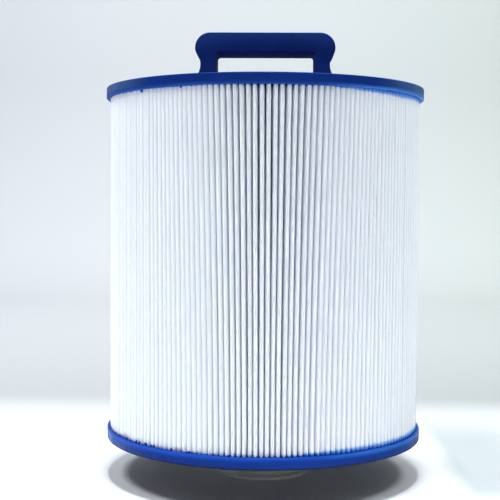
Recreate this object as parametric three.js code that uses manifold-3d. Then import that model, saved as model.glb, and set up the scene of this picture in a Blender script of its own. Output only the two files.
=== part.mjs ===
// A screw-in pleated filter cartridge for a spa skimmer, in millimetres.
//
// +Z is up and the origin is the centre of the nipple's end face, on which the cartridge stands.
// The handle's grip runs along X. From the bottom up: a threaded outlet, a cast end cap, a pleated sheet round
// a perforated core, a second end cap, and a handle whose peg sits in the bung that closes the core.

import * as THREE from "three";
import { mergeVertices } from "three/addons/utils/BufferGeometryUtils.js";
import Module from "manifold-3d";

const wasm = await Module();
wasm.setup();

// ---------------------------------------------------------------- driving dimensions

const INCH = 25.4;
const FIT = 0.3; // clearance between pieces that slide into each other

const BODY_RADIUS = 3 * INCH; // 6 in across the top cap
const NIPPLE_LENGTH = 18;
const BODY_HEIGHT = 166.8; // face to face over the two end caps
const BODY_BASE = NIPPLE_LENGTH; // underside of the bottom cap
const BODY_TOP = BODY_BASE + BODY_HEIGHT;

const CAP = { floor: 2.6, topRim: 5, bottomRim: 5.3, bottomRadius: 75.8, edge: 0.9 };
const MEDIA = { pleats: 186, outer: 74.3, inner: 28.2, sheet: 0.36, outerFold: 1.35, innerFold: 0.8 };
const SEAM = { width: 2.2, depth: 6, wall: 0.45, edgeDrop: 1.1 };
const CORE = { outer: 27.5, inner: 25, sections: 3, joint: 2.4, columns: 8, rows: 3, rib: 4.2, ring: 3.6 };
const PIPE = { bigRadius: 48.26 / 2, taper: 1 / 32, pitch: INCH / 11.5, threadDepth: 1.35, bore: 19.5 };
const SPIGOT = { height: 8, wall: 2.4, flangeThickness: 2.4, flangeRadius: 27.4 };
const BUNG = { flangeThickness: 2.2, depth: 9.2, floor: 2.4, wall: 2.3 };
const HANDLE = {
  rise: 26.8, // top of the grip above the cap
  gap: 17.5, // underside of the grip above the cap
  depth: 21.4, // along Y
  innerWidth: 46.9,
  waist: 61.6, // narrowest width over the two legs
  width: 66.8, // over the grip's round ends
  cornerRadius: 7.2,
  waistHeight: 12, // of the legs' narrowest place, above the cap
  edge: 1.2,
  baseRadius: 43.5,
  baseHeight: 2.4,
  pegRadius: 6,
  pegLength: 10.4,
};

const SEGMENTS = { cap: 72, core: 32, adapter: 24 };

// ---------------------------------------------------------------- shared helpers

const colours = { cap: 0x1d4390, handle: 0x14275a, fabric: 0xeef1f8, core: 0xe9eaec, adapter: 0xd9dbdd, bead: 0xe8dfc4 };

const plastic = (color, roughness) => new THREE.MeshStandardMaterial({ color, roughness, metalness: 0 });

const named = (name, geometry, material) => {
  const mesh = new THREE.Mesh(geometry, material);
  mesh.name = name;
  return mesh;
};

// A profile of [radius, height] points turned about Z. A ring's profile ends on its first point.
const turned = (profile, segments) => {
  const points = profile.map(([radius, height]) => new THREE.Vector2(radius, height));
  return new THREE.LatheGeometry(points, segments).rotateX(Math.PI / 2);
};

const ringOf = (profile, segments) => turned([...profile, profile[0]], segments);

// A three.js geometry as a manifold-3d solid, and back.
const toSolid = (geometry) => {
  const bare = geometry.index ? geometry.toNonIndexed() : geometry.clone();
  Object.keys(bare.attributes)
    .filter((name) => name !== "position")
    .forEach((name) => bare.deleteAttribute(name));
  const merged = mergeVertices(bare, 1e-3);
  return new wasm.Manifold(
    new wasm.Mesh({
      numProp: 3,
      vertProperties: merged.attributes.position.array,
      triVerts: new Uint32Array(merged.index.array),
    }),
  );
};

const toGeometry = (solid) => {
  const mesh = solid.getMesh();
  const geometry = new THREE.BufferGeometry();
  geometry.setAttribute("position", new THREE.BufferAttribute(mesh.vertProperties, 3));
  geometry.setIndex(new THREE.BufferAttribute(mesh.triVerts, 1));
  geometry.computeVertexNormals();
  return geometry;
};

// A point at a radius and an angle, moved sideways along the circle's tangent.
const polar = (radius, angle, sideways = 0) => {
  const across = Math.sqrt(radius * radius - sideways * sideways);
  return new THREE.Vector2(
    across * Math.cos(angle) - sideways * Math.sin(angle),
    across * Math.sin(angle) + sideways * Math.cos(angle),
  );
};

const extruded = (outline, base, height) =>
  new THREE.ExtrudeGeometry(new THREE.Shape(outline), { depth: height, bevelEnabled: false, steps: 1 }).translate(
    0,
    0,
    base,
  );

// ---------------------------------------------------------------- end caps

// A shallow pan whose channel takes the end of the pleats. The top cap is the same pan upside down.
const capProfile = (radius, rimHeight, holeRadius) => {
  const channel = MEDIA.outer + FIT;
  const lip = (radius - channel) * 0.3;
  return [
    [holeRadius, 0],
    [radius - CAP.edge, 0],
    [radius, CAP.edge],
    [radius, rimHeight - lip],
    [radius - lip, rimHeight],
    [channel, rimHeight],
    [channel, CAP.floor],
    [holeRadius, CAP.floor],
  ];
};

const bottomEndCap = () => {
  const hole = pipeRadius(BODY_BASE + CAP.floor) + FIT;
  return ringOf(capProfile(CAP.bottomRadius, CAP.bottomRim, hole), SEGMENTS.cap).translate(0, 0, BODY_BASE);
};

const topEndCap = () =>
  ringOf(capProfile(BODY_RADIUS, CAP.topRim, HANDLE.pegRadius + FIT), SEGMENTS.cap)
    .rotateX(Math.PI)
    .translate(0, 0, BODY_TOP);

// ---------------------------------------------------------------- pleated media and its seam

const MEDIA_BASE = BODY_BASE + CAP.floor + FIT;
const MEDIA_HEIGHT = BODY_HEIGHT - 2 * (CAP.floor + FIT);
const SEAM_ANGLE = Math.PI / 2; // at the back
const PLEAT_ANGLE = (2 * Math.PI) / MEDIA.pleats;

// Both faces of the sheet, walked round the ring. Pleat 0's outer fold is missing, because the sheet's two free
// edges meet there, a little inside the other folds, and the seam bead holds them together.
const pleatedMedia = () => {
  const { outer, inner, sheet, outerFold, innerFold, pleats } = MEDIA;
  const edgeRadius = outer - SEAM.edgeDrop;
  const outside = [];
  const inside = [];
  for (let pleat = 0; pleat < pleats; pleat++) {
    const crest = SEAM_ANGLE + pleat * PLEAT_ANGLE;
    const valley = crest + PLEAT_ANGLE / 2;
    const [left, right] = pleat ? [outerFold / 2, outerFold / 2] : [0, SEAM.width / 2 - SEAM.wall - FIT / 2];
    if (pleat) {
      outside.push(polar(outer, crest, -left), polar(outer, crest, right));
      inside.push(polar(outer - sheet, crest, sheet - left), polar(outer - sheet, crest, right - sheet));
    } else {
      outside.push(polar(edgeRadius, crest, right));
      inside.push(polar(edgeRadius, crest, right - sheet));
    }
    const gap = innerFold / 2 - sheet;
    outside.push(polar(inner + sheet, valley, -gap), polar(inner + sheet, valley, gap));
    inside.push(polar(inner, valley, -innerFold / 2), polar(inner, valley, innerFold / 2));
  }
  const lastEdge = SEAM.width / 2 - SEAM.wall - FIT / 2;
  outside.push(polar(edgeRadius, SEAM_ANGLE, -lastEdge));
  inside.push(polar(edgeRadius, SEAM_ANGLE, sheet - lastEdge));
  return extruded([...outside, ...inside.reverse()], MEDIA_BASE, MEDIA_HEIGHT);
};

// A U-shaped strip over the two free edges.
const mediaSeamBead = () => {
  const half = SEAM.width / 2;
  const throat = half - SEAM.wall;
  const back = MEDIA.outer - 0.45;
  const open = MEDIA.outer - SEAM.depth;
  const outline = [
    polar(open, SEAM_ANGLE, -half),
    polar(open, SEAM_ANGLE, -throat),
    polar(back, SEAM_ANGLE, -throat),
    polar(back, SEAM_ANGLE, throat),
    polar(open, SEAM_ANGLE, throat),
    polar(open, SEAM_ANGLE, half),
    polar(MEDIA.outer - 0.3, SEAM_ANGLE, half),
    polar(MEDIA.outer, SEAM_ANGLE, half - 0.4),
    polar(MEDIA.outer, SEAM_ANGLE, 0.4 - half),
    polar(MEDIA.outer - 0.3, SEAM_ANGLE, -half),
  ];
  return extruded(outline, MEDIA_BASE, MEDIA_HEIGHT);
};

// ---------------------------------------------------------------- core

const CORE_BASE = BODY_BASE + CAP.floor + SPIGOT.flangeThickness;
const CORE_TOP = BODY_TOP - CAP.floor - BUNG.flangeThickness;
const SECTION_PITCH = (CORE_TOP - CORE_BASE - CORE.joint) / CORE.sections;
const JOINT_RADIUS = (CORE.inner + CORE.outer) / 2; // between a section's tongue and the next one's socket

// One stacking section of the perforated tube: windows between ribs, a tongue on top, a socket below.
const coreSection = (index) => {
  const { inner, outer, joint, columns, rows, rib, ring } = CORE;
  const wall = ringOf(
    [
      [JOINT_RADIUS + FIT / 2, 0],
      [outer, 0],
      [outer, SECTION_PITCH],
      [JOINT_RADIUS - FIT / 2, SECTION_PITCH],
      [JOINT_RADIUS - FIT / 2, SECTION_PITCH + joint],
      [inner, SECTION_PITCH + joint],
      [inner, joint + FIT],
      [JOINT_RADIUS + FIT / 2, joint + FIT],
    ],
    SEGMENTS.core,
  );
  const firstRing = joint + FIT + ring;
  const rowPitch = (SECTION_PITCH - firstRing) / rows;
  const width = (2 * Math.PI * outer) / columns - rib;
  let section = toSolid(wall);
  for (let row = 0; row < rows; row++)
    for (let column = 0; column < columns; column++) {
      const window = new THREE.BoxGeometry(4 * (outer - inner), width, rowPitch - ring)
        .translate(outer, 0, firstRing + row * rowPitch + (rowPitch - ring) / 2)
        .rotateZ(((column + 0.5) * 2 * Math.PI) / columns);
      section = section.subtract(toSolid(window));
    }
  return toGeometry(section).translate(0, 0, CORE_BASE + index * SECTION_PITCH);
};

// ---------------------------------------------------------------- threaded adapter

const THREAD = { start: 1.2, end: BODY_BASE - 1.2, rampTurns: 0.4, crestHalf: 0.1, rootHalf: 0.45, sunk: 0.4 };

// The radius over the crests of the tapered pipe thread at a height.
function pipeRadius(height) {
  return PIPE.bigRadius - PIPE.taper * Math.max(0, BODY_BASE - height);
}

// The thread's ridge, swept up a right-hand helix, fading in and out at its two ends.
const threadRidge = () => {
  const turns = (THREAD.end - THREAD.start) / PIPE.pitch;
  const steps = Math.round(turns * SEGMENTS.adapter);
  const corners = [];
  for (let step = 0; step <= steps; step++) {
    const turn = step / SEGMENTS.adapter;
    const height = THREAD.start + turn * PIPE.pitch;
    const fade = Math.min(1, turn / THREAD.rampTurns, (turns - turn) / THREAD.rampTurns);
    const root = pipeRadius(height) - PIPE.threadDepth - THREAD.sunk;
    const crest = root + THREAD.sunk / 2 + (PIPE.threadDepth + THREAD.sunk / 2) * Math.max(0, fade);
    const ridge = [
      [root, -THREAD.rootHalf],
      [root, THREAD.rootHalf],
      [crest, THREAD.crestHalf],
      [crest, -THREAD.crestHalf],
    ];
    ridge.forEach(([radius, along]) => {
      const angle = turn * 2 * Math.PI;
      corners.push(radius * Math.cos(angle), radius * Math.sin(angle), height + along * PIPE.pitch);
    });
  }
  const faces = [0, 2, 1, 0, 3, 2];
  for (let step = 0; step < steps; step++)
    for (let side = 0; side < 4; side++) {
      const a = step * 4 + side;
      const b = step * 4 + ((side + 1) % 4);
      faces.push(a, b, b + 4, a, b + 4, a + 4);
    }
  const last = steps * 4;
  faces.push(last, last + 1, last + 2, last, last + 2, last + 3);
  const geometry = new THREE.BufferGeometry();
  geometry.setAttribute("position", new THREE.Float32BufferAttribute(corners, 3));
  geometry.setIndex(faces);
  const solid = toSolid(geometry);
  return solid.volume() < 0 ? toSolid(geometry.setIndex(faces.reverse())) : solid;
};

// The nipple, the flange that sits on the bottom cap's floor, and the stepped spigot that carries the core.
const threadedAdapter = () => {
  const flangeBase = BODY_BASE + CAP.floor;
  const rootAt = (height) => pipeRadius(height) - PIPE.threadDepth;
  const spigotOuter = CORE.inner - FIT;
  const body = ringOf(
    [
      [PIPE.bore, 0],
      [rootAt(0) - 0.8, 0],
      [rootAt(0), 0.8],
      [rootAt(BODY_BASE - 0.6), BODY_BASE - 0.6],
      [PIPE.bigRadius, BODY_BASE - 0.3],
      [PIPE.bigRadius, flangeBase],
      [SPIGOT.flangeRadius, flangeBase],
      [SPIGOT.flangeRadius, CORE_BASE],
      [JOINT_RADIUS - FIT / 2, CORE_BASE],
      [JOINT_RADIUS - FIT / 2, CORE_BASE + CORE.joint],
      [spigotOuter, CORE_BASE + CORE.joint + FIT],
      [spigotOuter, CORE_BASE + SPIGOT.height],
      [spigotOuter - SPIGOT.wall, CORE_BASE + SPIGOT.height],
      [spigotOuter - SPIGOT.wall, CORE_BASE],
      [PIPE.bore, CORE_BASE - 3],
    ],
    SEGMENTS.adapter,
  );
  return toGeometry(toSolid(body).add(threadRidge()));
};

// ---------------------------------------------------------------- core bung

// A plug in the core's upper end, with a socket for the handle's peg.
const coreBung = () => {
  const top = BODY_TOP - CAP.floor;
  const base = CORE_TOP - BUNG.depth;
  const spigot = CORE.inner - FIT;
  const socket = HANDLE.pegRadius + FIT;
  const floorTop = base + BUNG.floor;
  return turned(
    [
      [0, base],
      [spigot, base],
      [spigot, CORE_TOP],
      [SPIGOT.flangeRadius, CORE_TOP],
      [SPIGOT.flangeRadius, top],
      [spigot - BUNG.wall, top],
      [spigot - BUNG.wall, floorTop],
      [socket + BUNG.wall, floorTop],
      [socket + BUNG.wall, top],
      [socket, top],
      [socket, floorTop],
      [0, floorTop],
    ],
    SEGMENTS.core,
  );
};

// ---------------------------------------------------------------- handle

// The arch seen from the front: hollow-sided legs that run out into the base, and a grip with round ends.
const handleOutline = () => {
  const { rise, gap, innerWidth, waist, width, cornerRadius, waistHeight, edge, baseHeight } = HANDLE;
  const grow = -edge; // the bevel grows the outline by its own size
  const foot = baseHeight / 2;
  const flare = waistHeight - foot;
  const half = width / 2 + grow;
  const waistHalf = waist / 2 + grow;
  const inside = innerWidth / 2 - grow;
  const corner = cornerRadius + grow;
  const top = rise + grow;
  const shape = new THREE.Shape();
  shape.moveTo(waistHalf + flare * 0.8, foot);
  shape.quadraticCurveTo(waistHalf, foot + flare * 0.45, waistHalf, waistHeight);
  shape.bezierCurveTo(waistHalf, waistHeight + 4, half, top - corner - 4.6, half, top - corner);
  shape.absarc(half - corner, top - corner, corner, 0, Math.PI / 2, false);
  shape.absarc(corner - half, top - corner, corner, Math.PI / 2, Math.PI, false);
  shape.bezierCurveTo(-half, top - corner - 4.6, -waistHalf, waistHeight + 4, -waistHalf, waistHeight);
  shape.quadraticCurveTo(-waistHalf, foot + flare * 0.45, -waistHalf - flare * 0.8, foot);
  shape.lineTo(-inside, foot);
  shape.lineTo(-inside, gap - grow);
  shape.lineTo(inside, gap - grow);
  shape.lineTo(inside, foot);
  return shape;
};

const handle = () => {
  const { depth, edge, baseRadius, baseHeight, pegRadius, pegLength } = HANDLE;
  const arch = new THREE.ExtrudeGeometry(handleOutline(), {
    depth: depth - 2 * edge,
    steps: 1,
    curveSegments: 7,
    bevelThickness: edge,
    bevelSize: edge,
    bevelSegments: 2,
  })
    .translate(0, 0, edge - depth / 2)
    .rotateX(Math.PI / 2);
  const base = turned(
    [
      [0, -pegLength],
      [pegRadius - 0.8, -pegLength],
      [pegRadius, 0.8 - pegLength],
      [pegRadius, 0],
      [baseRadius, 0],
      [baseRadius, baseHeight - 0.8],
      [baseRadius - 0.8, baseHeight],
      [0, baseHeight],
    ],
    SEGMENTS.cap,
  );
  // The arch's bevelled feet stop inside the base disc.
  return toGeometry(toSolid(base).add(toSolid(arch))).translate(0, 0, BODY_TOP);
};

// ---------------------------------------------------------------- assembly

const cartridge = new THREE.Group();
cartridge.name = "filter_cartridge";

const capResin = plastic(colours.cap, 0.42);
const corePlastic = plastic(colours.core, 0.5);

const core = new THREE.Group();
["lower", "middle", "upper"].forEach((place, index) =>
  core.add(named(`core_section_${place}`, coreSection(index), corePlastic)),
);
core.add(named("core_bung", coreBung(), corePlastic));

cartridge.add(
  named("bottom_end_cap", bottomEndCap(), capResin),
  named("top_end_cap", topEndCap(), capResin),
  named("pleated_media", pleatedMedia(), plastic(colours.fabric, 0.95)),
  named("media_seam_bead", mediaSeamBead(), plastic(colours.bead, 0.6)),
  named("threaded_adapter", threadedAdapter(), plastic(colours.adapter, 0.45)),
  named("handle", handle(), plastic(colours.handle, 0.3)),
  core,
);

export default cartridge;
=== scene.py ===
# Looks for the pleated filter cartridge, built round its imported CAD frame. The lengths of shapes are in
# millimetres and become metres in make_piece(). Materials, the camera and the lights work in metres.
# +Z is up, and the camera looks along +Y.
import math

import bmesh
import bpy
import numpy as np
from mathutils import Matrix, Vector


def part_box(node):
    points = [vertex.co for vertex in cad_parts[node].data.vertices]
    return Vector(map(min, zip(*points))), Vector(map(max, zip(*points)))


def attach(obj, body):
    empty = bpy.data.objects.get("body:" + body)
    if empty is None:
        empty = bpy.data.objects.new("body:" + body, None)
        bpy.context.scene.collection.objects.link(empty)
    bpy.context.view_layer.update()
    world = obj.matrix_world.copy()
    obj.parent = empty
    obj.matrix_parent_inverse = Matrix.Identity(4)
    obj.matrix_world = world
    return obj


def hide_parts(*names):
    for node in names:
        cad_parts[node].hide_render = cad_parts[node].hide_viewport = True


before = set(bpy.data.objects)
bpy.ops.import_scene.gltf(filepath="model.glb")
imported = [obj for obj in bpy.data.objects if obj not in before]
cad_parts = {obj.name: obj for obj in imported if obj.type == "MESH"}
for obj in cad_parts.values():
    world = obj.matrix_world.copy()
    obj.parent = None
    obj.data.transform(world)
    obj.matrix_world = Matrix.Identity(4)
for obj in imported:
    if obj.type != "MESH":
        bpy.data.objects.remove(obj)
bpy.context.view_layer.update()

MM = 0.001
TAU = 2 * math.pi


# ---------------------------------------------------------------- the CAD's sizes, in millimetres

def span(node):
    low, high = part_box(node)
    return np.array(low) / MM, np.array(high) / MM


def top_of(node):
    return float(span(node)[1][2])


def base_of(node):
    return float(span(node)[0][2])


def radius_of(node):
    return float(span(node)[1][0])


CAP_TOP = top_of("top_end_cap")
CAP_BASE = base_of("bottom_end_cap")
TOP_RADIUS = radius_of("top_end_cap")
BOTTOM_RADIUS = radius_of("bottom_end_cap")
MEDIA_BASE = base_of("pleated_media")
MEDIA_TOP = top_of("pleated_media")
MEDIA_RADIUS = radius_of("pleated_media")
SECTIONS = ("core_section_lower", "core_section_middle", "core_section_upper")
LOWER_RIM, UPPER_RIM = 5.3, 5.0  # heights of the two caps' rims
POTTED = 0.3  # how far the resin between the pleats stands below the rim


def add_object(name, data):
    thing = bpy.data.objects.new(name, data)
    bpy.context.scene.collection.objects.link(thing)
    return thing


# ---------------------------------------------------------------- camera

def look(azimuth, pan, tilt, roll):
    """Right, up and backward axes of a camera, from its turns in degrees."""
    a, p, t, r = (math.radians(x) for x in (azimuth, pan, tilt, roll))
    ahead = Vector((-math.sin(a), math.cos(a), 0))
    right = Vector((math.cos(a), math.sin(a), 0))
    up = Vector((0, 0, 1))
    ahead, right = ahead * math.cos(p) - right * math.sin(p), right * math.cos(p) + ahead * math.sin(p)
    ahead, up = ahead * math.cos(t) - up * math.sin(t), up * math.cos(t) + ahead * math.sin(t)
    right, up = right * math.cos(r) + up * math.sin(r), up * math.cos(r) - right * math.sin(r)
    return right, up, -ahead


def make_camera():
    distance, height, azimuth = 0.51396, 0.12856, 0.603
    right, up, back = look(azimuth, pan=0.764, tilt=2.316, roll=0.36)
    data = bpy.data.cameras.new("camera")
    data.lens = 75.81
    data.sensor_width = 36
    data.clip_start, data.clip_end = 0.01, 20
    turn = Matrix((right, up, back)).transposed().to_4x4()
    a = math.radians(azimuth)
    place = Matrix.Translation((distance * math.sin(a), -distance * math.cos(a), height))
    camera = add_object("camera", data)
    camera.matrix_world = place @ turn
    bpy.context.scene.camera = camera


make_camera()


# ---------------------------------------------------------------- mesh helpers

def make_piece(name, points, faces, material, replaces=(), stage=False):
    """A smooth-shaded mesh from points in millimetres. It rides on the root body, or is on the stage."""
    mesh = bpy.data.meshes.new(name)
    points = np.asarray(points, dtype=np.float64) * MM
    mesh.from_pydata([tuple(p) for p in points], [], [tuple(f) for f in faces])
    mesh.update()
    mesh.polygons.foreach_set("use_smooth", [True] * len(mesh.polygons))
    mesh.materials.append(material)
    piece = add_object(name, mesh)
    if stage:
        return piece
    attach(piece, "root")
    if replaces:
        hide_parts(*replaces)
    return piece


def sharpen(piece, degrees):
    """Keeps edges that turn more than this sharp under smooth shading."""
    mesh = piece.data
    bm = bmesh.new()
    bm.from_mesh(mesh)
    limit = math.radians(degrees)
    for edge in bm.edges:
        if len(edge.link_faces) == 2 and edge.calc_face_angle(0) > limit:
            edge.smooth = False
    bm.to_mesh(mesh)
    bm.free()


def rounded(profile, radius, steps=4):
    """A closed profile of [radius, height] points with its corners rounded. A point's third number is its own
    radius. A corner that is almost straight is left alone, and neighbouring roundings never meet."""
    almost_straight, share = math.radians(87), 0.48
    result = []
    count = len(profile)
    for i in range(count):
        here = np.array(profile[i][:2], float)
        before = np.array(profile[i - 1][:2], float) - here
        after = np.array(profile[(i + 1) % count][:2], float) - here
        wanted = profile[i][2] if len(profile[i]) > 2 else radius
        if wanted <= 0:
            result.append(here)
            continue
        length_b, length_a = np.linalg.norm(before), np.linalg.norm(after)
        before, after = before / length_b, after / length_a
        half = math.acos(np.clip(before @ after, -1, 1)) / 2
        if half > almost_straight:
            result.append(here)
            continue
        reach = min(wanted / math.tan(half), share * length_b, share * length_a)
        size = reach * math.tan(half)
        bisector = (before + after) / np.linalg.norm(before + after)
        centre = here + bisector * size / math.sin(half)
        start, end = here + before * reach - centre, here + after * reach - centre
        turn = math.atan2(start[0] * end[1] - start[1] * end[0], start @ end)
        for k in range(steps + 1):
            a = turn * k / steps
            spin = np.array([[math.cos(a), -math.sin(a)], [math.sin(a), math.cos(a)]])
            result.append(centre + spin @ start)
    return np.array(result)


def turned(profile, segments, shift=None):
    """Points and faces of a closed [radius, height] profile turned about Z. shift(angle, radius, height)
    gives the changes of radius and height, all of them arrays."""
    profile = np.asarray(profile, float)
    rows = len(profile)
    angle = np.repeat(np.arange(segments) * TAU / segments, rows)
    radius, height = np.tile(profile[:, 0], segments), np.tile(profile[:, 1], segments)
    if shift:
        more_radius, more_height = shift(angle, radius, height)
        radius, height = radius + more_radius, height + more_height
    points = np.stack([radius * np.cos(angle), radius * np.sin(angle), height], 1)
    faces = []
    for i in range(segments):
        a, b = i * rows, (i + 1) % segments * rows
        for j in range(rows):
            k = (j + 1) % rows
            faces.append((a + j, b + j, b + k, a + k))
    return points, faces


def smooth_noise(count, knots, seed, closed=True):
    """A smooth random curve of that many values, from -1 to 1, through so many random knots."""
    values = np.random.default_rng(seed).uniform(-1, 1, knots)
    at = np.arange(count) * knots / count if closed else np.linspace(0, knots - 1.001, count)
    i = np.floor(at).astype(int)
    f = at - i
    f = f * f * (3 - 2 * f)
    return values[i % knots] * (1 - f) + values[(i + 1) % knots] * f


# ---------------------------------------------------------------- material helpers

class Nodes:
    """A node material under construction."""

    def __init__(self, name, **sockets):
        self.material = bpy.data.materials.new(name)
        self.material.use_nodes = True
        self.tree = self.material.node_tree
        self.shader = next(n for n in self.tree.nodes if n.type == "BSDF_PRINCIPLED")
        for socket, value in sockets.items():
            self.shader.inputs[socket.replace("_", " ")].default_value = value
        self.place = self.add("ShaderNodeTexCoord").outputs["Object"]

    def add(self, kind, inputs=None, **settings):
        node = self.tree.nodes.new(kind)
        for key, value in settings.items():
            setattr(node, key, value)
        for key, value in (inputs or {}).items():
            self.put(node.inputs[key], value)
        return node

    def put(self, socket, value):
        if isinstance(value, bpy.types.NodeSocket):
            self.tree.links.new(value, socket)
        else:
            socket.default_value = value

    def set(self, socket, value):
        self.put(self.shader.inputs[socket], value)

    def math(self, operation, a, b=0.0):
        return self.add("ShaderNodeMath", {0: a, 1: b}, operation=operation).outputs[0]

    def noise(self, scale, detail=4.0, rough=0.55, stretch=(1, 1, 1)):
        moved = self.add("ShaderNodeMapping", {"Vector": self.place, "Scale": stretch}).outputs[0]
        inputs = {"Vector": moved, "Scale": scale, "Detail": detail, "Roughness": rough}
        return self.add("ShaderNodeTexNoise", inputs).outputs["Fac"]

    def voronoi(self, scale):
        inputs = {"Vector": self.place, "Scale": scale}
        return self.add("ShaderNodeTexVoronoi", inputs).outputs["Distance"]

    def ramp(self, value, low, high, out_low=0.0, out_high=1.0, kind="SMOOTHSTEP"):
        """out_low where the value is low, out_high where it is high, and a soft step between them."""
        inputs = {"Value": value, "From Min": low, "From Max": high, "To Min": out_low, "To Max": out_high}
        return self.add("ShaderNodeMapRange", inputs, interpolation_type=kind).outputs[0]

    def mix(self, factor, a, b):
        """The colour a where the factor is 0 and b where it is 1."""
        node = self.add("ShaderNodeMix", data_type="RGBA")
        for socket, value in ((node.inputs[0], factor), (node.inputs[6], a), (node.inputs[7], b)):
            self.put(socket, value)
        return node.outputs[2]

    def bump(self, height, strength, distance):
        inputs = {"Height": height, "Strength": strength, "Distance": distance}
        normal = self.add("ShaderNodeBump", inputs).outputs[0]
        self.set("Normal", normal)

    def axis(self, letter):
        parts = self.add("ShaderNodeSeparateXYZ", {0: self.place})
        return parts.outputs["XYZ".index(letter)]

    def radius(self):
        x, y = self.axis("X"), self.axis("Y")
        return self.math("SQRT", self.math("ADD", self.math("MULTIPLY", x, x), self.math("MULTIPLY", y, y)))


def rgb(red, green, blue):
    """A linear colour from an sRGB one of 0 to 255."""
    parts = [c / 255 for c in (red, green, blue)]
    return tuple(c / 12.92 if c <= 0.04045 else ((c + 0.055) / 1.055) ** 2.4 for c in parts) + (1.0,)


# ---------------------------------------------------------------- materials

def cap_material(name, deep, pale, light, azure, ends, edge, reach):
    """Royal-blue cast polyurethane: cloudy, with trapped pinholes. For a few millimetres (reach) from the
    rim's edge against the pleats, where it is thin, it is light, or azure on the right, where it has wicked
    into the fabric. The outside is paler at the far left and right (ends), in place of a grazing
    reflection."""
    m = Nodes(name, Specular_IOR_Level=0.05, Subsurface_Weight=0.06)
    m.shader.inputs["Subsurface Radius"].default_value = (0.0006, 0.001, 0.003)
    across, height = m.axis("X"), m.axis("Z")
    cloud = m.noise(38, 4)
    pinholes = m.ramp(m.voronoi(420.0), 0.04, 0.11)
    body = m.mix(m.ramp(cloud, 0.35, 0.68), rgb(*deep), rgb(*pale))
    from_edge = m.math("ABSOLUTE", m.math("SUBTRACT", height, edge * MM))
    from_edge = m.math("ADD", from_edge, m.ramp(cloud, 0.3, 0.7, -0.4 * MM, 0.4 * MM))
    thin = m.ramp(from_edge, 0.3 * MM, reach * MM, 1.0, 0.0)
    far_out = m.ramp(m.math("ABSOLUTE", across), 46 * MM, 70 * MM)
    outside = m.ramp(m.radius(), 74.6 * MM, 75.6 * MM)
    body = m.mix(m.math("MULTIPLY", far_out, outside), body, rgb(*ends))
    body = m.mix(thin, body, m.mix(m.ramp(across, 20 * MM, 55 * MM), rgb(*light), rgb(*azure)))
    body = m.mix(pinholes, rgb(*(0.65 * c for c in deep)), body)
    # Painted shade: near-black navy over the bottom cap's underside and the lowest millimetre of its rim. The
    # top cap lies far above these heights, so it is untouched.
    painted_underside_shade = m.ramp(height, (CAP_BASE + 0.1) * MM, (CAP_BASE + 1.1) * MM, 1.0, 0.0)
    m.set("Base Color", m.mix(painted_underside_shade, body, rgb(8, 18, 40)))
    m.set("Roughness", m.ramp(m.noise(120, 3), 0.3, 0.7, 0.36, 0.52))
    grain = m.math("ADD", m.math("MULTIPLY", pinholes, 0.6), m.math("MULTIPLY", m.noise(260, 2), 0.4))
    m.bump(grain, 0.25, 0.0004)
    return m.material


def handle_material():
    """Navy moulded plastic with a fine spark-eroded grain and the odd scuff."""
    m = Nodes("moulded_navy_plastic", Specular_IOR_Level=0.015)
    cloud = m.noise(30, 3)
    m.set("Base Color", m.mix(m.ramp(cloud, 0.3, 0.7), rgb(24, 47, 105), rgb(30, 54, 117)))
    scuffs = m.ramp(m.noise(90, 6, 0.7, (1, 1, 0.25)), 0.62, 0.72)
    rough = m.ramp(m.noise(150, 3), 0.3, 0.7, 0.62, 0.74)
    m.set("Roughness", m.math("ADD", rough, m.math("MULTIPLY", scuffs, 0.14)))
    m.bump(m.noise(1500, 2), 0.12, 0.00012)
    return m.material


# Drips of resin on the folds, as [x, height, size]: two at the top rim, the rest along the bottom one.
DRIPS = ((-53.6, CAP_TOP - 5.3, 0.8), (-35.2, CAP_TOP - 5.0, 0.6))
DRIPS += tuple((x, CAP_BASE + LOWER_RIM + 0.1, size) for x, size in (
    (-56.0, 0.7), (-54.4, 0.6), (-51.3, 0.8), (-48.3, 0.7), (-47.1, 0.6), (-39.0, 0.7), (-31.0, 0.6),
))


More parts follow.
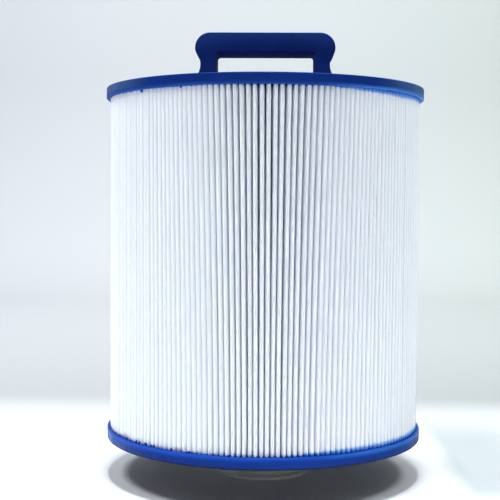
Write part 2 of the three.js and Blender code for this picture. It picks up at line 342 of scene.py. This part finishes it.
def fabric_material():
    """White spunbonded polyester, calendered with a fine point pattern, with resin wicked up its two ends."""
    m = Nodes("spunbond_polyester", Roughness=0.9, Specular_IOR_Level=0.2, Subsurface_Weight=1.0)
    m.shader.inputs["Subsurface Radius"].default_value = (0.001, 0.001, 0.0011)
    m.shader.inputs["Subsurface Scale"].default_value = 1.0
    fibres = m.noise(900, 5, 0.65, (1, 1, 0.35))
    clumps = m.noise(90, 4, 0.6, (1, 1, 0.5))
    paper = m.mix(m.ramp(fibres, 0.3, 0.7), rgb(232, 237, 254), rgb(241, 244, 255))
    paper = m.mix(m.ramp(clumps, 0.35, 0.7), paper, rgb(236, 241, 254))
    height, across = m.axis("Z"), m.axis("X")
    uneven = m.ramp(m.noise(70, 3), 0.3, 0.7)
    blips = m.ramp(m.noise(330, 1, 0.5, (1, 1, 0.02)), 0.6, 0.68)

    def wicked(above, right_from, right_to, right_climb, climb, drop):
        """Resin soaked up from an edge: 1 at the edge, 0 where it has faded out. It climbs a little
        everywhere, in waves (climb) and narrow runs (drop), and further (right_climb) on the right."""
        reach = m.math("ADD", m.math("MULTIPLY", uneven, climb * MM), m.math("MULTIPLY", blips, drop * MM))
        least = m.ramp(across, right_from * MM, right_to * MM, 0.3 * MM, right_climb * MM)
        return m.ramp(m.math("DIVIDE", above, m.math("ADD", reach, least)), 0.0, 1.0, 1.0, 0.0)

    over_base = m.math("SUBTRACT", height, (CAP_BASE + LOWER_RIM - POTTED) * MM)
    stain_low = wicked(over_base, right_from=0, right_to=40, right_climb=3.6, climb=0.5, drop=0.8)
    under_top = m.math("SUBTRACT", (CAP_TOP - UPPER_RIM + POTTED) * MM, height)
    stain_high = wicked(under_top, right_from=20, right_to=60, right_climb=3, climb=0.6, drop=0.5)
    stain = m.math("MAXIMUM", stain_low, stain_high)
    longer = 1.4  # how much longer a drip is than wide
    for place_x, place_z, wide in DRIPS:
        sideways = m.math("DIVIDE", m.math("SUBTRACT", across, place_x * MM), wide * MM)
        down = m.math("DIVIDE", m.math("SUBTRACT", height, place_z * MM), longer * wide * MM)
        off = m.math("ADD", m.math("MULTIPLY", sideways, sideways), m.math("MULTIPLY", down, down))
        stain = m.math("MAXIMUM", stain, m.ramp(off, 0.4, 1.1, 1.0, 0.0))
    soaked = m.mix(m.ramp(across, -10 * MM, 30 * MM), rgb(30, 84, 184), rgb(76, 138, 228))
    tint = m.mix(m.ramp(stain, 0.75, 1.0), rgb(112, 168, 240), soaked)
    m.set("Base Color", m.mix(m.ramp(stain, 0.0, 0.7), paper, tint))
    m.set("Roughness", m.ramp(stain, 0.3, 1.0, 0.92, 0.45))
    relief = m.math("ADD", m.math("MULTIPLY", fibres, 0.7), m.math("MULTIPLY", m.voronoi(1300.0), 0.3))
    m.bump(relief, 0.3, 0.0002)
    return m.material


def adapter_material():
    """Natural off-white moulded plastic, a little translucent, with a painted highlight along the lip at its
    lower end.
    """
    m = Nodes("natural_moulded_plastic", Roughness=0.38, Subsurface_Weight=0.12)
    m.shader.inputs["Subsurface Radius"].default_value = (0.004, 0.003, 0.002)
    body = m.mix(m.ramp(m.noise(40, 4), 0.3, 0.7), rgb(188, 186, 180), rgb(206, 205, 200))
    # Painted highlight: the lowest millimetre or so, the nipple's end lip, is made near-white.
    lip = m.ramp(m.axis("Z"), 0.9 * MM, 1.4 * MM, 1.0, 0.0)
    m.set("Base Color", m.mix(lip, body, rgb(244, 244, 242)))
    m.set("Roughness", m.ramp(m.noise(200, 3), 0.3, 0.7, 0.32, 0.5))
    m.bump(m.noise(700, 3), 0.1, 0.0002)
    return m.material


def core_material():
    """White polypropylene, matte from the mould."""
    m = Nodes("white_polypropylene", Roughness=0.5, Subsurface_Weight=0.1)
    m.shader.inputs["Subsurface Radius"].default_value = (0.003, 0.003, 0.003)
    m.set("Base Color", m.mix(m.ramp(m.noise(50, 3), 0.3, 0.7), rgb(222, 223, 226), rgb(236, 236, 238)))
    m.set("Roughness", m.ramp(m.noise(160, 3), 0.3, 0.7, 0.42, 0.58))
    m.bump(m.noise(600, 3), 0.12, 0.0002)
    return m.material


def bead_material():
    """Cream hot-melt glue with drawn-out ripples."""
    m = Nodes("hot_melt_glue", Roughness=0.4, Subsurface_Weight=0.25)
    m.shader.inputs["Subsurface Radius"].default_value = (0.003, 0.002, 0.001)
    ripple = m.noise(160, 3, 0.5, (1, 1, 3))
    m.set("Base Color", m.mix(m.ramp(ripple, 0.3, 0.7), rgb(222, 206, 158), rgb(238, 228, 194)))
    m.bump(ripple, 0.3, 0.0004)
    return m.material


LOWER_RESIN = cap_material(
    "cast_blue_resin", deep=(7, 40, 112), pale=(11, 48, 126), light=(24, 72, 170), azure=(40, 96, 182),
    ends=(14, 58, 128), edge=CAP_BASE + LOWER_RIM, reach=2.4,
)
# The top cap's resin is a darker copy of the bottom cap's, which is painted shade; its much paler ends are a
# painted reflection.
SHADED_UPPER_RESIN = cap_material(
    "cast_blue_resin_upper_painted_shade", deep=(8, 36, 100), pale=(12, 44, 116), light=(18, 58, 132), azure=(56, 104, 174),
    ends=(52, 80, 126), edge=CAP_TOP - UPPER_RIM, reach=1.9,
)
NAVY = handle_material()
FABRIC = fabric_material()
NATURAL = adapter_material()
POLYPROPYLENE = core_material()
GLUE = bead_material()


# ---------------------------------------------------------------- pleated sheet

PLEATS = 186
ROWS = 33  # places up the sheet
SHEET = 0.36  # thickness
OUTER_FOLD, PRESSED_FOLD = 0.79, 0.28  # outer folds' radius, and what is added where they press together
BELLY = 1.1  # half the width of a fold where its two walls bulge
BELLY_RADIUS = 71.3
BETWEEN = 0.07  # least half gap between the bellies of two folds
INNER_FOLD = 0.4
INNER_RADIUS = 28.2
WALL = MEDIA_RADIUS - INNER_RADIUS
MIDDLE = 0.5 * (MEDIA_RADIUS + INNER_RADIUS) + 6  # radius of the points about half-way down a wall
SEAM_AT = math.pi / 2
FREE_EDGE = 73.2  # radius of the sheet's two free edges
CALM = 6  # pleats either side of the seam over which the folds fall back into line
FRONT = math.radians(-87.5)  # where the folds spread at the top and crowd at the bottom

# How uneven the folds are: each one's place, sideways and inwards, and then how it changes on its way up,
# sideways, inwards, in width (a share of it) and in the bow of its walls.
NUDGE, SINK = 0.09, 0.16
SWAY, DIP, SWELL, BOW = 0.07, 0.08, 0.06, 0.22


def spread(angle, level):
    """How far round a fold stands from its even place. level is 0 at the sheet's bottom and 1 at its top."""
    crowding, spreading, reach = 0.03, 0.22, 0.5
    away = (angle - FRONT + math.pi) % TAU - math.pi
    amount = spreading * level**1.4 - crowding
    return amount * away * np.exp(-((away / reach) ** 2))


def packed(angle):
    """How closely the folds press together: 0 in the middle of the front, 1 at the sides and the back."""
    away = abs((angle - FRONT + math.pi) % TAU - math.pi)
    start, over = 0.1, 0.34  # angles
    share = min(1.0, max(0.0, (away - start) / over))
    return share * share * (3 - 2 * share)


def pleated_sheet():
    """Points and faces of the sheet: a strip folded in and out all the way round, from seam to seam."""
    level = np.linspace(0, 1, ROWS)
    heights = MEDIA_BASE + level * (MEDIA_TOP - MEDIA_BASE)
    pitch = TAU / PLEATS
    dice = np.random.default_rng(7)
    sway = np.array([smooth_noise(ROWS, 4, 100 + i, closed=False) for i in range(PLEATS)])
    lean = np.array([smooth_noise(ROWS, 3, 400 + i, closed=False) for i in range(PLEATS)])
    nudge = dice.normal(0, NUDGE, PLEATS)
    sink = np.abs(dice.normal(0, SINK, PLEATS))
    loose = np.clip(np.minimum(level, 1 - level) / 0.12, 0, 1)  # 0 where the caps hold the sheet
    tip = np.radians(np.linspace(-90, 90, 7))
    root = np.radians(np.linspace(-90, 90, 3))
    seam_gap, bulge = 0.5, 0.1  # from the seam to a free edge, and of a wall about half-way down
    outside, inside = [], []  # columns of points, one for each place along the sheet

    def column(radius, centre, sideways):
        angle = np.full(ROWS, centre) + np.arcsin(np.clip(sideways / radius, -1, 1))
        return np.stack([radius * np.cos(angle), radius * np.sin(angle), heights], 1)

    def wall(radius, centre, sideways, thickness):
        """One place on a wall of a pleat. The sheet's other face is sideways of it by the thickness."""
        outside.append(column(radius, centre, sideways))
        inside.append(column(radius, centre, sideways + thickness))

    def bend(radius, centre, outer, inner, turns):
        """The places round a fold, at those turns, with the radii of the sheet's two faces."""
        for t in turns:
            outside.append(column(radius + outer * math.cos(t), centre, outer * math.sin(t)))
            inside.append(column(radius + inner * math.cos(t), centre, inner * math.sin(t)))

    def calm_at(i):
        return min(1, i / CALM, (PLEATS - i) / CALM)

    def line_of(i):
        """The angle of a pleat's outer fold, up the sheet, before it wanders."""
        even = SEAM_AT + i * pitch
        return even + spread(even, level) * calm_at(i)

    def crest_of(i):
        """The same once it has wandered, less where the caps hold it and where the folds press together."""
        pleat = i % PLEATS
        wander = nudge[pleat] * (0.5 + 0.5 * loose) + SWAY * sway[pleat] * loose
        return line_of(i) + wander * calm_at(i) / MEDIA_RADIUS * (1 - 0.45 * packed(SEAM_AT + i * pitch))

    crests = [crest_of(i) for i in range(PLEATS + 1)]
    share = (MIDDLE - INNER_RADIUS) / WALL
    side = (INNER_FOLD - SHEET + (OUTER_FOLD - INNER_FOLD + SHEET) * share) * share + bulge
    for i in range(PLEATS):
        even, calm, crest = SEAM_AT + i * pitch, calm_at(i), crests[i]
        if i:
            depth = sink[i] * calm + DIP * (1 + lean[i]) * loose
            fold = (OUTER_FOLD + PRESSED_FOLD * packed(even)) * (1 + SWELL * sway[i])
            gaps = (crest - crests[i - 1], crests[i + 1] - crest)
            before, after = (np.minimum(BELLY, 0.5 * BELLY_RADIUS * gap - BETWEEN) for gap in gaps)
            wall(BELLY_RADIUS, crest, -before, SHEET)
            bend(MEDIA_RADIUS - depth - fold, crest, fold, fold - SHEET, tip)
            wall(BELLY_RADIUS, crest, after, -SHEET)
        else:
            wall(FREE_EDGE, crest, seam_gap, -SHEET)
        valley = even + pitch / 2
        valley = valley + 0.5 * spread(valley, level) * calm
        bow = BOW * lean[i] * loose * calm
        wall(MIDDLE, valley + (crest - valley) * share, bow + side, -SHEET)
        bend(INNER_RADIUS + INNER_FOLD, valley, SHEET - INNER_FOLD, -INNER_FOLD, -root)
        wall(MIDDLE, valley + (line_of(i + 1) - valley) * share, bow - side, SHEET)
    wall(FREE_EDGE, SEAM_AT + TAU, -seam_gap, SHEET)

    columns = outside + inside[::-1]
    count, last = len(columns), ROWS - 1
    faces = []
    for i in range(count):
        a, b = i * ROWS, (i + 1) % count * ROWS
        faces += [(a + j, b + j, b + j + 1, a + j + 1) for j in range(last)]
    for i in range(len(outside) - 1):  # the sheet's two long edges
        a, b, c, d = (k * ROWS for k in (i, i + 1, count - 2 - i, count - 1 - i))
        faces.append((a, d, c, b))
        faces.append((a + last, b + last, c + last, d + last))
    return np.concatenate(columns), faces


points, faces = pleated_sheet()
media = make_piece("pleated_sheet", points, faces, FABRIC, ["pleated_media"])


# ---------------------------------------------------------------- end caps

CAP_SEGMENTS = 288
CAP_FLOOR = 2.9  # thickness of a cap between its hole and the pleats
OUTLET_HOLE, PEG_HOLE = 24.45, 6.2  # radii


def cap_profile(radius, rim, hole):
    """A cast cap, the bottom one's way up: a floor with a hole, resin between the pleats, and a thin lip."""
    lip = 0.9
    return rounded(
        [
            [hole, 0, 0.5],
            [radius, 0, 0.5],
            [radius, rim, 0.42],
            [radius - lip, rim, 0.42],
            [radius - lip - 0.5, rim - POTTED, 0.3],
            [MEDIA_RADIUS - 4, rim - POTTED - 0.2, 0],
            [INNER_RADIUS, rim - POTTED - 0.4, 0.3],
            [INNER_RADIUS, CAP_FLOOR, 0.3],
            [hole, CAP_FLOOR, 0.4],
        ],
        0.3,
    )


def cap(name, node, radius, rim, hole, upside_down, seed, resin):
    """One end cap. The rim's edge wavers a little, as poured resin does."""
    wobble = smooth_noise(CAP_SEGMENTS, 23, seed)
    ripple = smooth_noise(CAP_SEGMENTS, 96, seed + 1)

    def shift(angle, radii, heights):
        i = np.round(angle / TAU * CAP_SEGMENTS).astype(int) % CAP_SEGMENTS
        breadth = 6  # of the part that wavers
        edge = np.clip((radii - (MEDIA_RADIUS - breadth)) / breadth, 0, 1)
        upper = np.clip((heights - rim + 1.6) / 1.2, 0, 1)
        return np.zeros_like(radii), edge * upper * (0.12 * wobble[i] + 0.08 * ripple[i])

    points, faces = turned(cap_profile(radius, rim, hole), CAP_SEGMENTS, shift)
    if upside_down:
        points = points * [1, -1, -1] + [0, 0, CAP_TOP]
    else:
        points = points + [0, 0, CAP_BASE]
    sharpen(make_piece(name, points, faces, resin, [node]), 50)


cap("bottom_cap_casting", "bottom_end_cap", BOTTOM_RADIUS, LOWER_RIM, OUTLET_HOLE, False, 11, LOWER_RESIN)
cap("top_cap_casting", "top_end_cap", TOP_RADIUS, UPPER_RIM, PEG_HOLE, True, 21, SHADED_UPPER_RESIN)


# ---------------------------------------------------------------- handle

DISC_RADIUS, DISC_TOP = 43.5, 2.4
PEG_RADIUS, PEG_LENGTH = 6, 10.4
FOOT = 1.2  # how far down the arch goes, inside the disc


def bezier(p0, p1, p2, p3, count=10):
    """Points along a cubic curve."""
    t = np.linspace(0, 1, count)[:, None]
    p0, p1, p2, p3 = (np.array(p, float) for p in (p0, p1, p2, p3))
    return (1 - t) ** 3 * p0 + 3 * (1 - t) ** 2 * t * p1 + 3 * (1 - t) * t * t * p2 + t**3 * p3


def quarter(x, z, reach_x, reach_z, count=6):
    """Points round a quarter circle about (x, z), from reach_x beside it to reach_z above it."""
    turns = np.linspace(0, math.pi / 2, count)
    return [(x + reach_x * math.cos(a), z + reach_z * math.sin(a)) for a in turns]


def handle_outline():
    """The arch's silhouette, as [x, height above the cap] points, with rounded inside corners."""
    rise, gap, inside, waist, half, corner, waist_height = 26.8, 17.5, 23.45, 30.8, 33.4, 7.2, 12.0
    shoulder = rise - corner
    right = np.concatenate([
        bezier((42.2, FOOT), (35.2, 3.0), (waist, 6.0), (waist, waist_height), 14),
        bezier((waist, waist_height), (waist, 15.2), (half, shoulder - 3.4), (half, shoulder))[1:],
        quarter(half - corner, shoulder, corner, corner, 12)[1:],
    ])
    small, fillet = 1.4, 2.6
    upper = quarter(small - inside, gap - small, -small, small)
    lower = quarter(fillet - inside, DISC_TOP + fillet, -fillet, -fillet)[::-1]
    inner_left = np.array([(fillet - inside, FOOT)] + lower + upper)
    return np.concatenate([right, right[::-1] * [-1, 1], inner_left, inner_left[::-1] * [-1, 1]])


def arch_mesh():
    """The arch with its edges rounded and a fillet where its front and back meet the disc."""
    depth, edge, fillet = 21.4, 1.3, 1.8
    bm = bmesh.new()
    face = bm.faces.new([bm.verts.new((x, -depth / 2, z)) for x, z in handle_outline()])
    made = bmesh.ops.extrude_face_region(bm, geom=[face])
    moved = [v for v in made["geom"] if isinstance(v, bmesh.types.BMVert)]
    bmesh.ops.translate(bm, verts=moved, vec=(0, depth, 0))
    bmesh.ops.recalc_face_normals(bm, faces=bm.faces)

    def on_rim(edge):
        """Whether an edge goes round the front or the back, above the foot."""
        one, other = (v.co for v in edge.verts)
        return abs(one.y - other.y) < 1e-6 and one.z + other.z > 2 * FOOT + 0.1

    rims = [e for e in bm.edges if on_rim(e)]
    bmesh.ops.bevel(bm, geom=rims, offset=edge, segments=4, profile=0.5, affect="EDGES", clamp_overlap=True)
    for step in np.linspace(0, 1, 6)[1:]:
        everything = list(bm.verts) + list(bm.edges) + list(bm.faces)
        cut = (0, 0, DISC_TOP + fillet * step)
        bmesh.ops.bisect_plane(bm, geom=everything, plane_co=cut, plane_no=(0, 0, 1))
    for v in bm.verts:
        above = max(0.0, v.co.z - DISC_TOP)
        if above < fillet and abs(v.co.y) > 1:
            flare = fillet - math.sqrt(fillet**2 - (fillet - above) ** 2)
            v.co.y += math.copysign(flare, v.co.y)
    bmesh.ops.triangulate(bm, faces=[f for f in bm.faces if len(f.verts) > 4])
    mesh = bpy.data.meshes.new("arch")
    bm.to_mesh(mesh)
    bm.free()
    return mesh


def lathe_solid(profile, segments):
    """Points and faces of a profile that starts and ends on the axis, turned about Z."""
    profile = np.asarray(profile, float)
    ring = profile[1:-1]
    rows = len(ring)
    points = [(0, 0, profile[0][1]), (0, 0, profile[-1][1])]
    for i in range(segments):
        a = i * TAU / segments
        points += [(r * math.cos(a), r * math.sin(a), z) for r, z in ring]
    faces = []
    for i in range(segments):
        a, b = 2 + i * rows, 2 + (i + 1) % segments * rows
        faces.append((0, b, a))
        faces.append((1, a + rows - 1, b + rows - 1))
        faces += [(a + j, b + j, b + j + 1, a + j + 1) for j in range(rows - 1)]
    return points, faces


def disc_mesh():
    """The base disc with the peg under it."""
    profile = [
        [0, -PEG_LENGTH, 0], [PEG_RADIUS, -PEG_LENGTH, 0.8], [PEG_RADIUS, 0, 0],
        [DISC_RADIUS, 0, 0.2], [DISC_RADIUS, DISC_TOP, 1.1], [0, DISC_TOP, 0],
    ]
    points, faces = lathe_solid(rounded(profile, 0.3, 5), 144)
    mesh = bpy.data.meshes.new("disc")
    mesh.from_pydata([tuple(p) for p in points], [], faces)
    return mesh


def handle():
    """The arch and the disc joined into one moulding."""
    arch, disc = add_object("arch", arch_mesh()), add_object("disc", disc_mesh())
    union = arch.modifiers.new("union", "BOOLEAN")
    union.operation, union.solver, union.object = "UNION", "EXACT", disc
    graph = bpy.context.evaluated_depsgraph_get()
    joined = bpy.data.meshes.new_from_object(arch.evaluated_get(graph))
    bpy.data.objects.remove(arch)
    bpy.data.objects.remove(disc)
    points = np.array([v.co for v in joined.vertices]) + [0, 0, CAP_TOP]
    faces = [tuple(p.vertices) for p in joined.polygons]
    sharpen(make_piece("carry_handle", points, faces, NAVY, ["handle"]), 38)


handle()


# ---------------------------------------------------------------- threaded adapter

def threaded_adapter():
    """One skin of revolution whose outside carries the pipe thread."""
    pitch, big, taper, depth, bore = 25.4 / 11.5, 24.13, 1 / 32, 1.35, 19.5
    flank, crest = 1.14, 0.86  # how steep the ridge is, and where its top is cut flat
    segments = 240
    length = CAP_BASE
    heights = np.arange(0.0, length - 0.29, pitch / 14)
    outside = np.stack([big - taper * (length - heights), heights], 1)
    above = [  # the rest, from the top of the thread up and down through the bore
        [big, -0.1, 0], [big, 2.6, 0.3], [27.4, 2.6, 0.3], [27.4, 5.0, 0.3], [26.1, 5.0, 0.2],
        [26.1, 7.4, 0.3], [24.7, 7.7, 0.2], [24.7, 13.0, 0.4], [22.3, 13.0, 0.4], [22.3, 5.0, 0.8],
        [bore, 2.0, 1.0], [bore, -length, 0.5],
    ]
    rest = rounded([[r, length + h, corner] for r, h, corner in above], 0.2)
    profile = np.concatenate([outside, rest])

    def shift(angle, radii, heights):
        """Cuts the outside down to the thread's root, less where the ridge is, and chamfers its end."""
        on_thread = np.tile(np.arange(len(profile)) < len(outside), segments)
        phase = (heights / pitch - angle / TAU - 0.55) % 1.0
        ridge = np.clip(1 - np.abs(2 * phase - 1) * flank, 0.0, crest) / crest
        start = np.clip((heights - 0.9) / 1.3, 0, 1)
        end = np.clip((length - 0.8 - heights) / 1.6, 0, 1)
        near_cap = np.clip((heights - length + 0.8) / 0.5, 0, 1)
        chamfer = 0.6 * np.clip(1 - heights / 0.8, 0, 1)
        change = depth * (ridge * start * end - 1) * (1 - near_cap) - chamfer
        return np.where(on_thread, change, 0.0), np.zeros_like(heights)

    points, faces = turned(profile, segments, shift)
    sharpen(make_piece("outlet_adapter", points, faces, NATURAL, ["threaded_adapter"]), 50)


threaded_adapter()


# ---------------------------------------------------------------- core, bung and seam bead

for section in SECTIONS + ("core_bung",):
    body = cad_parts[section]
    body.data.materials.clear()
    body.data.materials.append(POLYPROPYLENE)


def seam_bead():
    """The glue over the sheet's two free edges: a U-shaped strip whose outside swells and thins."""
    rows = 90
    swell = 0.12 * smooth_noise(rows, 17, 61, closed=False)
    drift = 0.1 * smooth_noise(rows, 9, 62, closed=False)
    section = [  # [radius, sideways], with the side that faces out from the ninth point on
        (68.4, -1.0), (68.3, -0.82), (68.4, -0.66), (73.7, -0.66), (73.85, 0.0), (73.7, 0.66), (68.4, 0.66),
        (68.3, 0.82), (68.4, 1.0), (70.5, 1.02), (72.4, 1.05), (73.5, 1.0), (74.0, 0.7), (74.18, 0.25),
        (74.18, -0.25), (74.0, -0.7), (73.5, -1.0), (72.4, -1.05), (70.5, -1.02),
    ]
    count = len(section)
    points = []
    for j, z in enumerate(np.linspace(MEDIA_BASE, MEDIA_TOP, rows)):
        for k, (radius, sideways) in enumerate(section):
            if k > 7 or k == 0:
                sideways *= 1 + 0.6 * swell[j]
                sideways += drift[j] if radius > 73 else 0
            radius += min(0.1, swell[j]) if radius > 73.9 else 0
            points.append((sideways, radius, z))
    faces = []
    for j in range(rows - 1):
        for k in range(count):
            a, b = j * count + k, j * count + (k + 1) % count
            faces.append((a, b, b + count, a + count))
    faces.append(tuple(reversed(range(count))))
    faces.append(tuple(range((rows - 1) * count, rows * count)))
    sharpen(make_piece("seam_glue_bead", points, faces, GLUE, ["media_seam_bead"]), 60)


seam_bead()


# ---------------------------------------------------------------- stage and light

def stage_material():
    """Pale paper: white round the cartridge, but darker towards its right and with a darker patch at its
    right, both painted shade. Greyer from a little way behind it, which is painted shade too, graded against
    the
    overhead lamp: a brighter band lies where the white ends, and the paper turns paler towards the wall."""
    m = Nodes("pale_paper", Roughness=0.75, Specular_IOR_Level=0.15)
    across, behind = m.axis("X"), m.axis("Y")
    white = m.mix(m.noise(3, 2), rgb(247, 248, 250), rgb(245, 246, 249))
    # Painted shade: the white darkens towards the cartridge's right.
    white = m.mix(m.ramp(across, 0.05, 0.45), white, rgb(208, 214, 218))
    # Painted shade: a darker patch on the floor beside the cartridge, at its right.
    painted_floor_shade = m.math("MULTIPLY", m.ramp(across, 0.076, 0.1), m.ramp(across, 0.12, 0.22, 1.0, 0.0))
    painted_floor_shade = m.math("MULTIPLY", painted_floor_shade, m.ramp(behind, -0.1, -0.03))
    white = m.mix(painted_floor_shade, white, rgb(156, 162, 161))
    # Painted shade: behind the white the paper is greyer, darkest just behind the cartridge and paler towards
    # the wall as the overhead lamp's light falls off. It is also a little darker and greener towards the
    # right.
    aside = m.ramp(across, -0.3, 0.6, 0.0, 1.0, "LINEAR")
    near = m.mix(aside, rgb(144, 145, 146), rgb(126, 132, 124))
    wall = m.mix(aside, rgb(197, 198, 199), rgb(192, 198, 191))
    painted_backdrop_shade = m.mix(m.ramp(behind, 0.15, 1.15, 0.0, 1.0, "LINEAR"), near, wall)
    band = m.mix(m.ramp(behind, 0.13, 0.205), rgb(168, 169, 170), painted_backdrop_shade)
    m.set("Base Color", m.mix(m.ramp(behind, 0.06, 0.13), white, band))
    return m.material


def stage():
    """A floor that curves up into a wall behind the cartridge, far enough off for a camera to go round it."""
    near, far, bend, wide, tall = -1800.0, 1300.0, 350.0, 1800.0, 1700.0
    line = [(near, 0.0), (-300, 0.0), (0.0, 0.0), (300, 0.0), (far - bend, 0.0)]
    turns = np.linspace(0, math.pi / 2, 16)[1:]
    line += [(far - bend + bend * math.sin(a), bend - bend * math.cos(a)) for a in turns]
    line += [(far, tall)]
    points = [(x, y, z) for y, z in line for x in (-wide, wide)]
    faces = [(2 * i, 2 * i + 1, 2 * i + 3, 2 * i + 2) for i in range(len(line) - 1)]
    make_piece("sweep", points, faces, stage_material(), stage=True)


def area_light(name, place, target, size, watts, colour=(1, 1, 1)):
    data = bpy.data.lights.new(name, "AREA")
    data.shape = "RECTANGLE"
    data.size, data.size_y = size
    data.energy = watts
    data.color = colour
    lamp = add_object(name, data)
    lamp.location = place
    lamp.rotation_mode = "QUATERNION"
    lamp.rotation_quaternion = (Vector(target) - Vector(place)).to_track_quat("-Z", "Y")


def studio_world():
    """Dim surroundings, dimmest in front, where the room is dark, but for a pale card low in front."""
    world = bpy.data.worlds.new("studio")
    world.use_nodes = True
    nodes, links = world.node_tree.nodes, world.node_tree.links
    place = nodes.new("ShaderNodeTexCoord").outputs["Generated"]
    parts = nodes.new("ShaderNodeSeparateXYZ")
    links.new(place, parts.inputs[0])
    ramp = nodes.new("ShaderNodeMapRange")
    for key, value in (("From Min", -0.9), ("From Max", 0.4), ("To Min", 0.1), ("To Max", 0.3)):
        ramp.inputs[key].default_value = value
    links.new(parts.outputs["Y"], ramp.inputs["Value"])

    def step(axis, start, end):
        """1 where the direction is past the end along an axis, 0 where it has not reached the start."""
        part = nodes.new("ShaderNodeMapRange")
        part.inputs["From Min"].default_value, part.inputs["From Max"].default_value = start, end
        links.new(parts.outputs[axis], part.inputs["Value"])
        return part.outputs[0]

    low_front = nodes.new("ShaderNodeMath")
    low_front.operation = "MULTIPLY"
    links.new(step("Z", 0.5, 0.05), low_front.inputs[0])
    links.new(step("Y", -0.2, -0.8), low_front.inputs[1])
    total = nodes.new("ShaderNodeMath")
    total.operation = "MULTIPLY_ADD"
    links.new(low_front.outputs[0], total.inputs[0])
    total.inputs[1].default_value = 0.3
    links.new(ramp.outputs[0], total.inputs[2])
    background = nodes["Background"]
    background.inputs[0].default_value = (0.93, 0.96, 1.0, 1)
    links.new(total.outputs[0], background.inputs[1])
    bpy.context.scene.world = world


def light():
    studio_world()
    middle = (0, 0, 0.1)
    area_light("left_softbox", (-0.62, -0.12, 1.25), middle, (0.3, 0.3), 7.5, (0.9, 0.96, 1.0))
    area_light("right_softbox", (0.6, -0.12, 1.25), middle, (0.3, 0.3), 5, (0.9, 0.96, 1.0))
    area_light("overhead", (0, -0.05, 1.5), middle, (0.22, 0.22), 45, (0.895, 0.94, 1.0))
    area_light("wall_wash", (0, 0.45, 1.5), (0, 1.3, 0.5), (1.2, 0.3), 1.5)


stage()
light()
bpy.context.scene.view_settings.view_transform = "Standard"
